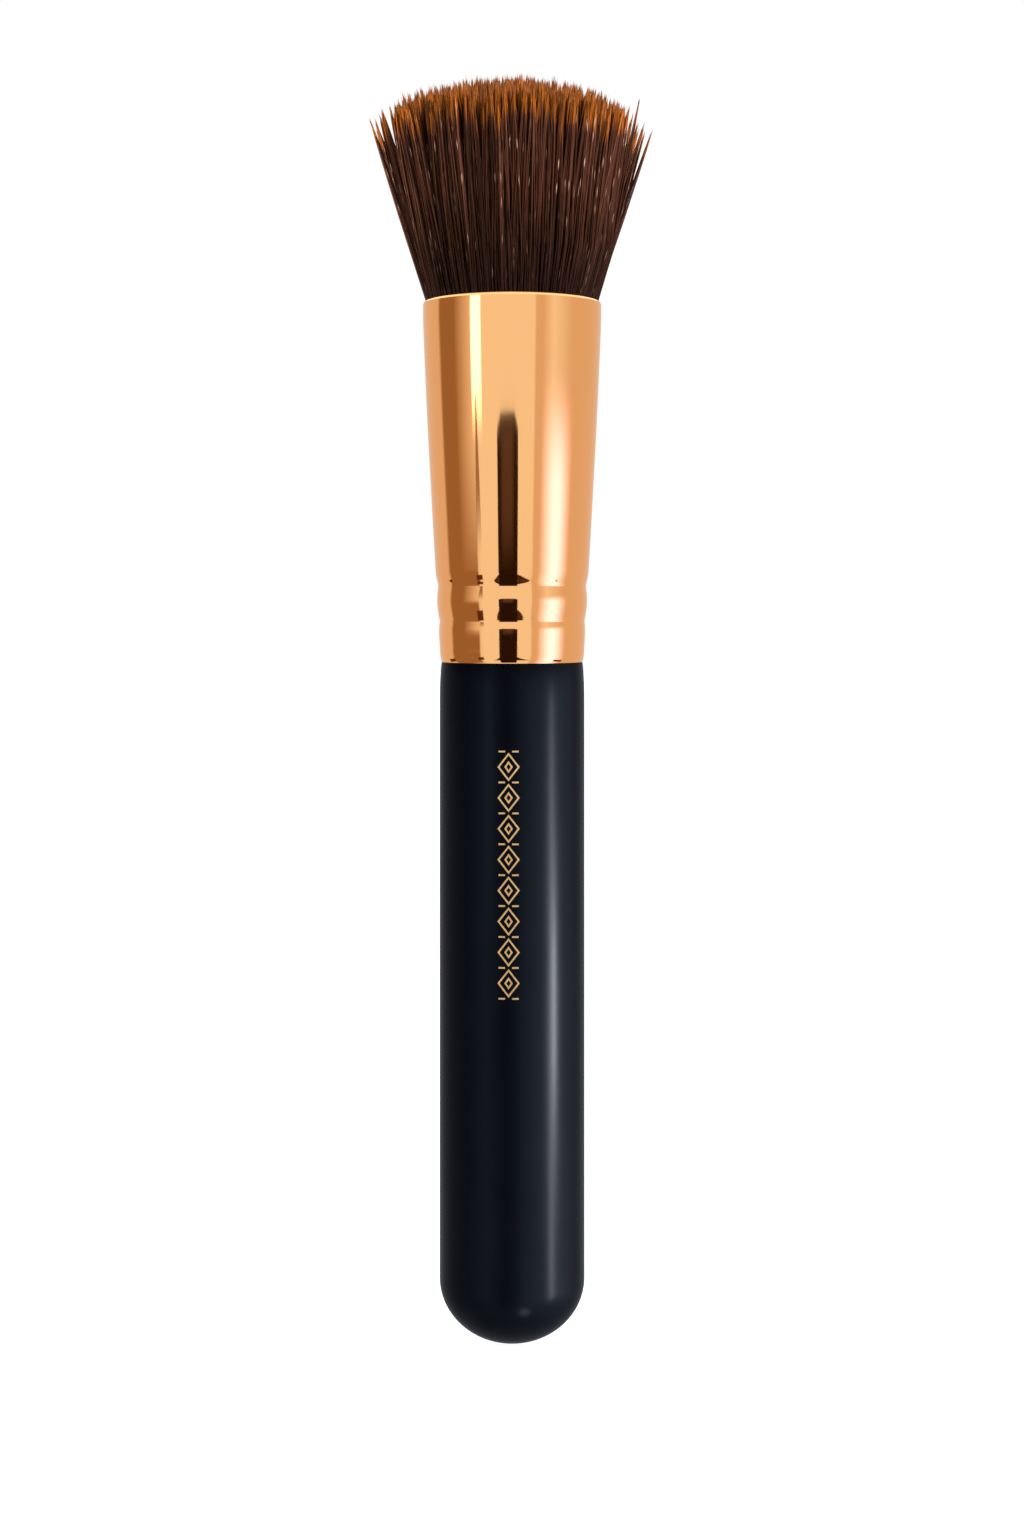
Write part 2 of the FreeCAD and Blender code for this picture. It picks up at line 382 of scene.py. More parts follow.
def bristle():
    """Tapered synthetic bristle: amber tips that turn dark brown, each strand with its own shade, darker
    deeper down partly by dye and partly by painted shade, with short painted glints.
    """
    made, tree, output = new_material("two_tone_bristle")
    place = add(tree, "SeparateXYZ", {"Vector": add(tree, "UVMap", uv_map="OFBake").outputs["UV"]})
    column = add(tree, "Math", {0: place.outputs["X"], 1: STRAND_COLUMNS}, operation="MULTIPLY")
    column = add(tree, "Math", {0: column.outputs[0]}, operation="FLOOR")
    chance = add(tree, "TexWhiteNoise", {"W": column.outputs[0]}, noise_dimensions="1D")
    depth = add(tree, "Math", {0: place.outputs["Y"], 1: STRAND_SPAN}, operation="MULTIPLY")
    spread = {"Value": chance.outputs["Value"], "To Min": -AMBER_SPREAD, "To Max": AMBER_SPREAD}
    shift = add(tree, "MapRange", spread)
    depth = add(tree, "Math", {0: depth.outputs[0], 1: shift.outputs["Result"]}, operation="ADD")
    share = add(tree, "Math", {0: depth.outputs[0], 1: AMBER_END}, operation="DIVIDE")
    dyed = ramp(tree, share.outputs[0], DYE)
    shade = add(tree, "Math", {0: levels(tree, place.outputs["X"], SHADES), 1: 1.0}, operation="SUBTRACT")
    calm = levels(tree, place.outputs["Y"], CALM)
    shade = add(tree, "Math", {0: shade.outputs[0], 1: calm, 2: 1.0}, operation="MULTIPLY_ADD").outputs[0]
    # Painted shade: strands darken deeper below the tip, partly dye and partly the shade that strands cast on
    # each other
    dye_and_shade = levels(tree, place.outputs["Y"], DEPTH_DYE_AND_SHADE)
    both = add(tree, "Math", {0: shade, 1: dye_and_shade}, operation="MULTIPLY")
    shaded = add(tree, "VectorMath", {0: dyed, 3: both.outputs[0]}, operation="SCALE")
    along = add(tree, "Math", {0: place.outputs["Y"], 1: GLINT_ROWS}, operation="MULTIPLY")
    along = add(tree, "Math", {0: along.outputs[0], 1: chance.outputs["Value"]}, operation="ADD")
    row = add(tree, "Math", {0: along.outputs[0]}, operation="FLOOR")
    along = add(tree, "Math", {0: along.outputs[0]}, operation="FRACT")
    cell = add(tree, "CombineXYZ", {"X": column.outputs[0], "Y": row.outputs[0]})
    luck = add(tree, "TexWhiteNoise", {"Vector": cell.outputs[0]}, noise_dimensions="2D")
    lucky = add(tree, "Math", {0: luck.outputs["Value"], 1: GLINT_SHARE}, operation="LESS_THAN")
    across = add(tree, "Math", {0: place.outputs["X"], 1: STRAND_COLUMNS}, operation="MULTIPLY")
    across = add(tree, "Math", {0: across.outputs[0]}, operation="FRACT")
    middle = add(tree, "Math", {0: across.outputs[0], 1: 0.5, 2: GLINT_WIDTH}, operation="COMPARE")
    bright = add(tree, "Math", {0: lucky.outputs[0], 1: middle.outputs[0]}, operation="MULTIPLY")
    by_depth = levels(tree, place.outputs["Y"], GLINT_LEVELS)
    bright = add(tree, "Math", {0: bright.outputs[0], 1: by_depth}, operation="MULTIPLY")
    by_end = levels(tree, along.outputs[0], GLINT_ENDS)
    bright = add(tree, "Math", {0: bright.outputs[0], 1: by_end}, operation="MULTIPLY")
    # Painted highlight: the glints mix a pale colour into the strands' own
    mixed = {"Fac": bright.outputs[0], "Color1": shaded.outputs["Vector"], "Color2": (*GLINT, 1.0)}
    colour = add(tree, "MixRGB", mixed)
    shader = add(tree, "BsdfPrincipled", {
        "Base Color": colour.outputs["Color"],
        "Roughness": 0.27,
        "Specular IOR Level": 0.12,
        "Specular Tint": (1.0, 0.74, 0.60, 1.0),
    })
    tree.links.new(shader.outputs["BSDF"], output.inputs["Surface"])
    return made


def gold_foil():
    """Thin stamped gold foil, a little dull."""
    made, tree, output = new_material("stamped_gold_foil")
    place = add(tree, "TexCoord").outputs["Object"]
    rub = add(tree, "TexNoise", {"Vector": place, "Scale": 2400.0, "Detail": 3.0})
    roughness = add(tree, "MapRange", {"Value": rub.outputs["Fac"], "To Min": 0.40, "To Max": 0.58})
    shader = add(tree, "BsdfPrincipled", {
        "Base Color": ramp(tree, rub.outputs["Fac"], [(0.3, (0.86, 0.56, 0.25)), (0.7, (0.97, 0.68, 0.34))]),
        "Metallic": 1.0,
        "Roughness": roughness.outputs["Result"],
    })
    tree.links.new(shader.outputs["BSDF"], output.inputs["Surface"])
    return made


def plain_noise(name, dark, light, scale, roughness):
    """A simple finish of two mixed shades, for the pieces inside the ferrule."""
    made, tree, output = new_material(name)
    place = add(tree, "TexCoord").outputs["Object"]
    cloud = add(tree, "TexNoise", {"Vector": place, "Scale": scale, "Detail": 3.0})
    colour = ramp(tree, cloud.outputs["Fac"], [(0.35, dark), (0.65, light)])
    bump = add(tree, "Bump", {"Height": cloud.outputs["Fac"], "Strength": 0.3, "Distance": 0.00005})
    shader = add(tree, "BsdfPrincipled", {
        "Base Color": colour,
        "Roughness": roughness,
        "Normal": bump.outputs["Normal"],
    })
    tree.links.new(shader.outputs["BSDF"], output.inputs["Surface"])
    return made


def lathed(name, outline):
    """A closed mesh turned about the axis from (radius, height) points, from pole to pole or round a ring."""
    turns = np.arange(SIDES) * 2 * math.pi / SIDES
    poles = outline[0][0] == 0
    rings = [p for p in outline if p[0] > 0]
    vertices = [(r * math.cos(t) * MM, r * math.sin(t) * MM, z * MM) for r, z in rings for t in turns]
    faces = []
    last = len(rings) - 1
    for row in range(last if poles else last + 1):
        low, high = row * SIDES, (row + 1) % len(rings) * SIDES
        for side in range(SIDES):
            after = (side + 1) % SIDES
            faces.append((low + side, low + after, high + after, high + side))
    if poles:
        bottom, top = len(vertices), len(vertices) + 1
        vertices += [(0, 0, outline[0][1] * MM), (0, 0, outline[-1][1] * MM)]
        for side in range(SIDES):
            after = (side + 1) % SIDES
            faces.append((bottom, after, side))
            faces.append((top, last * SIDES + side, last * SIDES + after))
    mesh = bpy.data.meshes.new(name)
    mesh.from_pydata(vertices, [], faces)
    mesh.shade_smooth()
    mesh.set_sharp_from_angle(angle=math.radians(CREASE_ANGLE))
    return mesh


def flowing(stations, rows):
    """Points of a smooth outline through (radius, height, lean) stations. Lean is radius per height."""
    points = []
    for (r0, z0, lean0), (r1, z1, lean1) in zip(stations, stations[1:]):
        rise = z1 - z0
        for row in range(rows):
            t = row / rows
            a, b = (1 + 2 * t) * (1 - t) ** 2, t * (1 - t) ** 2
            c, d = t * t * (3 - 2 * t), t * t * (t - 1)
            points.append((a * r0 + b * rise * lean0 + c * r1 + d * rise * lean1, z0 + t * rise))
    points.append(stations[-1][:2])
    return points


def handle_outline():
    """Up the round end and the barrel to the ledge, then up the hidden tenon to its flat top."""
    outline = [(0, 0)]
    for row in range(1, DOME_ROWS + 1):
        turn = math.pi / 2 * row / DOME_ROWS
        outline.append((HANDLE_RADIUS * math.sin(turn), DOME_HEIGHT * (1 - math.cos(turn))))
    foot = LEDGE_HEIGHT - SHOULDER_HEIGHT
    for row in range(SHOULDER_ROWS + 1):
        t = row / SHOULDER_ROWS
        drop = SHOULDER_DROP * t ** SHOULDER_POWER
        outline.append((HANDLE_RADIUS - drop, foot + t * (SHOULDER_HEIGHT - LEDGE_ROUNDING)))
    outline.append((HANDLE_RADIUS - SHOULDER_DROP - LEDGE_ROUNDING, LEDGE_HEIGHT))
    inner = HANDLE_RADIUS - SHOULDER_DROP - SHEET - LEDGE_ROUNDING
    outline += [(inner, LEDGE_HEIGHT), (inner, handle_high.z), (0, handle_high.z)]
    return outline


def ferrule_outline():
    """Round the sheet: up the outside over both bands and the cone to the lip, and down the inside."""
    cone = CONE + ((MOUTH_RADIUS, COLLAR_HEIGHT, 0.0),)
    spans = ((LOWER_BAND, SPAN_ROWS), (UPPER_BAND, SPAN_ROWS), (CONE_FOOT, SPAN_ROWS), (cone, CONE_ROWS))
    outside = []
    for stations, rows in spans:
        placed = [(radius, LEDGE_HEIGHT + height, lean) for radius, height, lean in stations]
        outside = outside[:-1] + flowing(placed, rows)
    lip = []
    for row in range(SPAN_ROWS + 1):
        turn = math.pi / 2 * row / SPAN_ROWS
        across = LIP_ROUNDING * (1 - math.cos(turn))
        lip.append((MOUTH_RADIUS - across, MOUTH_HEIGHT - LIP_ROUNDING * (2 - math.sin(turn) * 2)))
    inside = [(r - SHEET, z) for r, z in reversed(outside[::INSIDE_ROW_STEP])]
    return outside + lip + [(BORE_RADIUS, MOUTH_HEIGHT)] + inside


def on_barrel(across, height, raised):
    """A point on the handle's barrel, across from the ornament's middle line and raised above the lacquer."""
    azimuth = ORNAMENT_AZIMUTH + math.degrees(across / HANDLE_RADIUS)
    return at(HANDLE_RADIUS + raised, azimuth, height)


def stroke(path, width, closed):
    """A raised line of foil along (across, height) points, as vertices and the faces of a closed strip."""
    path = np.array(path, float)
    count = len(path)
    before = np.roll(path, 1, 0) if closed else np.vstack([2 * path[0] - path[1], path[:-1]])
    after = np.roll(path, -1, 0) if closed else np.vstack([path[1:], 2 * path[-1] - path[-2]])
    first = (path - before) / np.linalg.norm(path - before, axis=1, keepdims=True)
    second = (after - path) / np.linalg.norm(after - path, axis=1, keepdims=True)
    normal = np.stack([-(first + second)[:, 1], (first + second)[:, 0]], 1)
    normal /= (normal ** 2).sum(1, keepdims=True) / 2
    edges = (path + normal * width / 2, path - normal * width / 2)
    vertices = []
    for left, right in zip(*edges):
        section = ((left, FOIL_TOP), (right, FOIL_TOP), (right, FOIL_SUNK), (left, FOIL_SUNK))
        for (across, height), raised in section:
            vertices.append(on_barrel(across, height, raised))
    faces = []
    for station in range(count if closed else count - 1):
        low, high = 4 * station, 4 * ((station + 1) % count)
        for side in range(4):
            after_side = (side + 1) % 4
            faces.append((low + side, low + after_side, high + after_side, high + side))
    if not closed:
        last = 4 * (count - 1)
        faces += [(3, 2, 1, 0), (last, last + 1, last + 2, last + 3)]
    return vertices, faces


def lozenge(height, half_width, half_height):
    """Points round a lozenge, each side cut into short steps so that it can follow the barrel."""
    corners = [
        (half_width, height),
        (0, height + half_height),
        (-half_width, height),
        (0, height - half_height),
    ]
    path = []
    for (x0, z0), (x1, z1) in zip(corners, corners[1:] + corners[:1]):
        for step in range(FOIL_STEPS):
            share = step / FOIL_STEPS
            path.append((x0 + (x1 - x0) * share, z0 + (z1 - z0) * share))
    return path


def ornament():
    """A chain of lozenges with small ones inside them and bars between them, all of thin raised foil."""
    parts = []
    pitch = ORNAMENT_LENGTH / ORNAMENT_COUNT
    for index in range(ORNAMENT_COUNT):
        middle = ORNAMENT_LOW + (index + 0.5) * pitch
        parts.append(stroke(lozenge(middle, ORNAMENT_HALF_WIDTH, LOZENGE_SHARE * pitch), FOIL_LINE, True))
        parts.append(stroke(lozenge(middle, SEED_HALF_WIDTH, SEED_HALF_HEIGHT), FOIL_LINE, True))
    for index in range(ORNAMENT_COUNT + 1):
        height = ORNAMENT_LOW + index * pitch
        for side in (-1, 1):
            ends = [side * share * ORNAMENT_HALF_WIDTH for share in BAR_SHARES]
            parts.append(stroke([(across, height) for across in ends], FOIL_LINE, False))
    vertices, faces = [], []
    for points, polygons in parts:
        faces += [tuple(len(vertices) + corner for corner in polygon) for polygon in polygons]
        vertices += points
    mesh = bpy.data.meshes.new("foil_ornament")
    mesh.from_pydata(vertices, [], faces)
    return mesh


def ease(t):
    t = np.clip(t, 0.0, 1.0)
    return t * t * (3 - 2 * t)


def sunflower(count, chance, jitter):
    """Points spread evenly over the unit disc, each moved a little by chance."""
    index = np.arange(count)
    radius = np.sqrt((index + 0.5) / count)
    points = np.stack([radius * np.cos(index * GOLDEN_ANGLE), radius * np.sin(index * GOLDEN_ANGLE)], 1)
    points += chance.normal(0, jitter / math.sqrt(count), (count, 2))
    length = np.linalg.norm(points, axis=1, keepdims=True)
    return points / np.maximum(length, 1.0)


def nearest(points, centres):
    """The index of each point's nearest centre."""
    gaps = ((points[:, None, :] - centres[None, :, :]) ** 2).sum(2)
    return gaps.argmin(1)


def bundle_radius(height):
    """Outside radius of the bundle at each height: squeezed in the ferrule and flaring straight above it."""
    widening = (BORE_RADIUS - MOUTH_GAP - ROOT_RADIUS) * (height - ROOT_HEIGHT)
    inside = ROOT_RADIUS + widening / (MOUTH_HEIGHT - ROOT_HEIGHT)
    flare = (HEAD_RADIUS - BORE_RADIUS + MOUTH_GAP) / HAIR_OUT_LENGTH
    outside = BORE_RADIUS - MOUTH_GAP + flare * (height - MOUTH_HEIGHT)
    return np.where(height < MOUTH_HEIGHT, inside, outside)


def draw_in(azimuths):
    """How far the head's dense part draws in at its top, as a share of its radius, by azimuth."""
    return HEAD_DRAW_IN + HEAD_DRAW_SIDE * np.sin(np.radians(azimuths))


def partings(azimuths, out):
    """How near each clump is to one of the partings near the outside of the head, from 0 to 1; there the head
    dips and its strands get painted shade.
    """
    gaps = azimuths[:, None] - np.array(PARTING_AZIMUTHS)
    return np.exp(-(gaps / PARTING_WIDTH) ** 2).max(1) * (out > PARTING_REACH)


def strands():
    """Centre lines of all strands, with their tip distances, shades and the place of their clump."""
    chance = np.random.default_rng(SEED)
    spots = sunflower(STRAND_COUNT, chance, SPOT_JITTER) * SPOT_REACH
    fine = sunflower(FINE_CLUMPS, chance, FINE_JITTER) * FINE_REACH
    coarse = sunflower(COARSE_CLUMPS, chance, COARSE_JITTER) * COARSE_REACH
    clump = nearest(spots, fine)
    lock = nearest(fine, coarse)[clump]
    off = np.linalg.norm(spots - fine[clump], axis=1) * math.sqrt(FINE_CLUMPS)

    out = np.linalg.norm(fine, axis=1)
    azimuth = np.degrees(np.arctan2(fine[:, 0], -fine[:, 1]))
    crown = RIM_HEIGHT + RIM_LIFT + CROWN_RISE * (1 - out ** 2) + chance.normal(0, CROWN_JITTER, FINE_CLUMPS)
    crown -= PARTING_DEPTH * partings(azimuth, out)
    draw = draw_in(azimuth)
    free = (out > FREE_REACH) & (chance.random(FINE_CLUMPS) < FREE_CLUMP_SHARE)
    draw[free] *= chance.uniform(0, FREE_DRAW_SHARE, FINE_CLUMPS)[free]
    crown[free] -= chance.uniform(*FREE_DROP_RANGE, FINE_CLUMPS)[free]
    side = (out > LOCK_REACH) & (abs(azimuth - LOCK_AZIMUTH) < LOCK_HALF_ANGLE)
    side = np.flatnonzero(side & (chance.random(FINE_CLUMPS) < LOCK_SHARE))
    side = side[np.argsort(-fine[side, 0])]
    reach, top = np.array(LOCK_TIPS)[np.arange(len(side)) * len(LOCK_TIPS) // len(side)].T
    crown[side] = top - chance.uniform(0, LOCK_DROP, len(side))
    draw[side] = 1 + reach / (bundle_radius(crown[side]) * fine[side, 0])
    free[side] = True
    standing = np.isin(np.arange(FINE_CLUMPS), side)
    wisp = np.zeros(FINE_CLUMPS, bool)
    for wisp_azimuth, radius, height in SIDE_WISPS:
        turn = math.radians(wisp_azimuth)
        place = np.array([math.sin(turn), -math.cos(turn)]) * FINE_REACH
        mine = nearest(place[None], np.where(free[:, None], TAKEN, fine))[0]
        free[mine] = True
        wisp[mine] = True
        crown[mine] = height
        draw[mine] = 1 - radius / (bundle_radius(height) * out[mine])

    tip = crown[clump] + chance.normal(0, COARSE_HEIGHT_JITTER, COARSE_CLUMPS)[lock] * ~free[clump]
    tip -= EDGE_DROP * off + chance.exponential(TIP_DROP, STRAND_COUNT)
    wander = np.clip(spots + chance.normal(0, WANDER, (STRAND_COUNT, 2)), -1, 1) - spots
    bow_share = np.where(out[clump] > LOCK_REACH, OUTER_BOW_SHARE, 1.0)
    bow = chance.normal(0, BOW, (STRAND_COUNT, 2)) * bow_share[:, None]
    stray = chance.normal(0, STRAY, (STRAND_COUNT, 2))
    gather = np.where(free[clump], FREE_GATHER, chance.uniform(*GATHER_RANGE, STRAND_COUNT))
    heights = [tip - depth for depth in (0.0, *TIP_RINGS)]
    heights += [MOUTH_HEIGHT + share * (tip - MOUTH_HEIGHT) for share in MIDDLE_RING_SHARES]
    heights += [np.full(STRAND_COUNT, MOUTH_HEIGHT), np.full(STRAND_COUNT, ROOT_HEIGHT)]
    heights = np.stack(heights, 1)
    share = np.clip((heights - MOUTH_HEIGHT) / (tip - MOUTH_HEIGHT)[:, None], 0, 1)
    pull = gather[:, None] * share ** np.where(free[clump], FREE_GATHER_POWER, GATHER_POWER)[:, None]
    flat = spots[:, None, :] + pull[..., None] * (fine[clump] - spots)[:, None, :]
    flat = flat + (1 - share)[..., None] * wander[:, None, :]
    flat = flat / np.maximum(np.linalg.norm(flat, axis=2, keepdims=True), 1.0)
    lock_pull = LOCK_PULL * ~free[clump]
    flat = flat + (lock_pull[:, None] * share ** 2)[..., None] * (coarse[lock] - fine[clump])[:, None, :]
    start = (DRAW_START + DRAW_START_SIDE * np.sin(np.radians(azimuth[clump])))[:, None]
    late = np.clip((share - start) / (1 - start), 0, 1) ** DRAW_POWER
    flat = flat * (bundle_radius(heights) * (1 - draw[clump][:, None] * late))[..., None]
    flat += bow[:, None, :] * np.sin(math.pi * share)[..., None] + stray[:, None, :] * (share ** 3)[..., None]
    lines = np.concatenate([flat, heights[..., None]], 2)

    shade = CLUMP_SHADE_SHARE * chance.random(FINE_CLUMPS)[clump]
    shade = shade + (1 - CLUMP_SHADE_SHARE) * chance.random(STRAND_COUNT)
    # Painted shade: strands near a parting are darkened, standing for the shade down in the gap
    shade = shade * (1 - PAINTED_PARTING_SHADE * partings(azimuth, out)[clump])
    shade = shade * np.where(wisp[clump], WISP_SHADE, 1.0)
    shade = np.where(standing[clump], LOCK_SHADE + (1 - LOCK_SHADE) * shade, shade)
    column = np.minimum(shade * STRAND_COLUMNS, STRAND_COLUMNS - 1).astype(int)
    return lines, tip[:, None] - heights, column, out[clump]


def strand_mesh(name, lines, distance, column):
    """Three-sided tapered tubes along the strands' lines, from the tip down, with their strand map."""
    count, rings = lines.shape[:2]
    chance = np.random.default_rng(SEED + len(name))
    spin = chance.uniform(0, 2 * math.pi, count)
    size = chance.uniform(*STRAND_SIZE_RANGE, count)[:, None]
    taper = TIP_RADIUS_SHARE + (1 - TIP_RADIUS_SHARE) * ease(distance / TAPER_LENGTH)
    radius = STRAND_RADIUS * size * taper
    turns = spin[:, None] + np.arange(3) * 2 * math.pi / 3
    rim = np.stack([np.cos(turns), np.sin(turns), np.zeros_like(turns)], 2)
    tubes = lines[:, 1:, None, :] + rim[:, None] * radius[:, 1:, None, None]
    points = np.concatenate([lines[:, :1], tubes.reshape(count, -1, 3)], 1)
    per_strand = points.shape[1]

    sides = np.arange(3)
    after = (sides + 1) % 3
    corners, places = [], []
    edge = MAP_MARGIN + MAP_WIDTH * np.arange(4) / 3
    for side in range(3):
        corners.append(np.array([0, 1 + after[side], 1 + side])[None])
        places.append([(0, 0.5 * (edge[side] + edge[side + 1])), (1, edge[side + 1]), (1, edge[side])])
    for ring in range(1, rings - 1):
        low, high = 1 + 3 * ring, 1 + 3 * (ring - 1)
        for side in range(3):
            corners.append(np.array([high + side, high + after[side], low + after[side], low + side])[None])
            left, right = edge[side], edge[side + 1]
            places.append([(ring, left), (ring, right), (ring + 1, right), (ring + 1, left)])
    end = 1 + 3 * (rings - 2)
    corners.append(np.array([end, end + 1, end + 2])[None])
    places.append([(rings - 1, edge[0]), (rings - 1, edge[3]), (rings - 1, edge[1])])

    sizes = np.array([c.shape[1] for c in corners])
    loop = np.concatenate([c[0] for c in corners])
    ring_of = np.array([p[0] for face in places for p in face])
    across = np.array([p[1] for face in places for p in face])
    loops = (np.arange(count)[:, None] * per_strand + loop).ravel()
    starts = np.concatenate([[0], np.cumsum(np.tile(sizes, count))[:-1]])
    u = (column[:, None] + across[None]) / STRAND_COLUMNS
    v = distance[:, ring_of] / STRAND_SPAN

    mesh = bpy.data.meshes.new(name)
    mesh.vertices.add(count * per_strand)
    mesh.vertices.foreach_set("co", (points * MM).astype(np.float32).ravel())
    mesh.loops.add(len(loops))
    mesh.loops.foreach_set("vertex_index", loops.astype(np.int32))
    mesh.polygons.add(len(starts))
    mesh.polygons.foreach_set("loop_start", starts.astype(np.int32))
    mesh.update(calc_edges=True)
    layer = mesh.uv_layers.new(name="OFBake")
    layer.uv.foreach_set("vector", np.stack([u.ravel(), v.ravel()], 1).astype(np.float32).ravel())
    mesh.shade_smooth()
    mesh.validate()
    return mesh


# Each zone of the head: its name, the share of the radius that it reaches to and the nodes it stands for
ZONES = (
    ("hair_inner", 3.5 / 6.5, ("hair_centre", "hair_ring_1", "hair_ring_2", "hair_ring_3")),
    ("hair_middle", 5.0 / 6.5, ("hair_ring_4",)),
    ("hair_outer", 5.9 / 6.5, ("hair_ring_5",)),
    ("hair_mantle", 1.1, ("hair_ring_6",)),
)


def make_hair(material):
    lines, distance, column, out = strands()
    inner = -1.0
    made = []
    for name, reach, nodes in ZONES:
        mine = (out > inner) & (out <= reach)
        mesh = strand_mesh(name, lines[mine], distance[mine], column[mine])
        made.append(piece(name, mesh, material, "hair", *nodes))
        inner = reach
    return made


def make_camera():
    data = bpy.data.cameras.new("camera")
    data.sensor_width = SENSOR_WIDTH
    data.lens = SENSOR_WIDTH * FOCAL_PIXELS / IMAGE_HEIGHT
    data.shift_x = (IMAGE_WIDTH / 2 - AXIS_COLUMN) / IMAGE_HEIGHT
    data.shift_y = (EYE_LEVEL_ROW - IMAGE_HEIGHT / 2) / IMAGE_HEIGHT
    data.clip_start = CLIP_NEAR * MM
    data.clip_end = CLIP_FAR * MM
    camera = link("camera", data)
    eye_height = (LOWEST_POINT_ROW - EYE_LEVEL_ROW) * PIXEL_SIZE
    camera.location = at(FOCAL_PIXELS * PIXEL_SIZE, 0, eye_height)
    camera.rotation_euler = (math.pi / 2, 0, 0)
    bpy.context.scene.camera = camera


def fade(tree, place, near, far):
    """A mask that rises smoothly from nothing at one edge share to full at another."""
    made = add(tree, "MapRange", {"Value": place, "From Min": near, "From Max": far})
    made.interpolation_type = "SMOOTHSTEP"
    return made.outputs["Result"]


def receivers(light, pieces, state):
    """Let a lamp or a light wall light some pieces alone, or every piece but them."""
    group = bpy.data.collections.new(light.name + "_receivers")
    for receiver in pieces:
        group.objects.link(receiver)
    for entry in group.collection_objects:
        entry.light_linking.link_state = state
    light.light_linking.receiver_collection = group


def glow(name, stops, sides, ends, clear_back):
    """A light wall's surface: its colours run along it, and it fades out over shares of its edges."""
    made, tree, output = new_material(name)
    place = add(tree, "SeparateXYZ", {"Vector": add(tree, "UVMap", uv_map="wall").outputs["UV"]})
    light = add(tree, "Emission", {"Color": ramp(tree, place.outputs["X"], stops)})
    clear = add(tree, "BsdfTransparent").outputs[0]
    shown = light.outputs[0]
    if clear_back:
        shown = add(tree, "AddShader", {0: shown, 1: clear}).outputs[0]
    for axis, feathers in (("X", (sides, sides)), ("Y", ends)):
        for feather, edge in zip(feathers, (0, 1)):
            if feather:
                mask = fade(tree, place.outputs[axis], edge, abs(edge - feather))
                shown = add(tree, "MixShader", {0: mask, 1: clear, 2: shown}).outputs[0]
    tree.links.new(shown, output.inputs["Surface"])
    return made


def light_wall(
    name, heights, stops, distance=WALL_DISTANCE, sides=0.0, ends=(0.0, 0.0), top=None, clear_back=False
):
    """A curved wall around the brush that its reflections see, with (azimuth, colour) stops along it.

    ends are the shares of its height that fade out at its bottom and top, top is where its top edge lies, and
    a wall with a clear back adds its light to what is behind it."""
    low, high = stops[0][0], stops[-1][0]
    top_low, top_high = top or (low, high)
    steps = max(1, math.ceil((high - low) / WALL_STEP_ANGLE))
    vertices, faces, places = [], [], []
    for step in range(steps + 1):
        share = step / steps
        vertices.append(at(distance, low + (high - low) * share, heights[0]))
        vertices.append(at(distance, top_low + (top_high - top_low) * share, heights[1]))
    for step in range(steps):
        faces.append((2 * step, 2 * step + 2, 2 * step + 3, 2 * step + 1))
        u0, u1 = step / steps, (step + 1) / steps
        places += [(u0, 0), (u1, 0), (u1, 1), (u0, 1)]
    mesh = bpy.data.meshes.new(name)
    mesh.from_pydata(vertices, [], faces)
    layer = mesh.uv_layers.new(name="wall")
    layer.uv.foreach_set("vector", np.array(places, np.float32).ravel())
    shares = [((azimuth - low) / (high - low), colour) for azimuth, colour in stops]
    mesh.materials.append(glow(name, shares, sides, ends, clear_back))
    wall = link(name, mesh)
    wall.visible_camera = False
    wall.visible_shadow = False
    wall.visible_diffuse = distance > NEAR
    return wall


def even(start, end, colour):
    """Stops of a wall of one colour between two azimuths."""
    return [(start, colour), (end, colour)]


def disc(name, radius, height, material):
    """A round level sheet about the axis."""
    mesh = bpy.data.meshes.new(name)
    ring = [at(radius, 360 * side / FLOOR_SIDES, height) for side in range(FLOOR_SIDES)]
    mesh.from_pydata(ring, [], [tuple(range(FLOOR_SIDES))])
    mesh.materials.append(material)
    made = link(name, mesh)
    return made


# The surroundings that the metal mirrors, by azimuth from behind on the left, past the front, to behind on
# the right: a white room, warm walls at its sides and back, and a brown board on the left
ROOM = grey(1.0)
WARM_WALL = (0.8, 0.65, 0.55)
BOARD = (0.35, 0.2, 0.1)
SURROUNDINGS = [
    (-180, WARM_WALL),
    (-110, WARM_WALL),
    (-105, BOARD),
    (-80, BOARD),
    (-60, WARM_WALL),
    (-45, ROOM),
    (29, ROOM),
    (31, WARM_WALL),
    (40, WARM_WALL),
    (55, ROOM),
    (85, WARM_WALL),
    (180, WARM_WALL),
]

# What the lacquer alone mirrors, as levels by azimuth: a dim room, a soft light on each side and a dark gap
# between the two
DIM_ROOM = 0.35
LEFT_LIGHT = 1.3
DARK_GAP = 0.1
RIGHT_LIGHT = 2.5
HANDLE_RING = [
    (-180, DIM_ROOM),
    (-70, DIM_ROOM),
    (-45, LEFT_LIGHT),
    (-35, LEFT_LIGHT),
    (-15, DARK_GAP),
    (0, DARK_GAP),
    (35, RIGHT_LIGHT),
    (80, RIGHT_LIGHT),
    (115, DIM_ROOM),
    (180, DIM_ROOM),
]
COOL = (0.95, 1.0, 1.12)
HANDLE_RING_DISTANCE = 300.0
HANDLE_RING_HEIGHTS = (-400, 120)
LAMP_COLOUR = (1.0, 0.86, 0.76)

# Colours of the dark things that the metal mirrors, and of the lights beside them
STREAK = grey(3.6)
SPIKE = (0.40, 0.25, 0.18)
RIGHT_GLOW = (2.5, 2.0, 3.6)
STAND = (0.022, 0.010, 0.005)
STAND_CAP = (0.075, 0.040, 0.027)
STAND_SHEEN = (0.10, 0.055, 0.040)
STAND_BASE = (0.07, 0.03, 0.012)
LOW_DARK = (0.10, 0.04, 0.02)
LOW_DARK_RIGHT = (0.12, 0.05, 0.02)
CEILING_GLOW = grey(1.6)


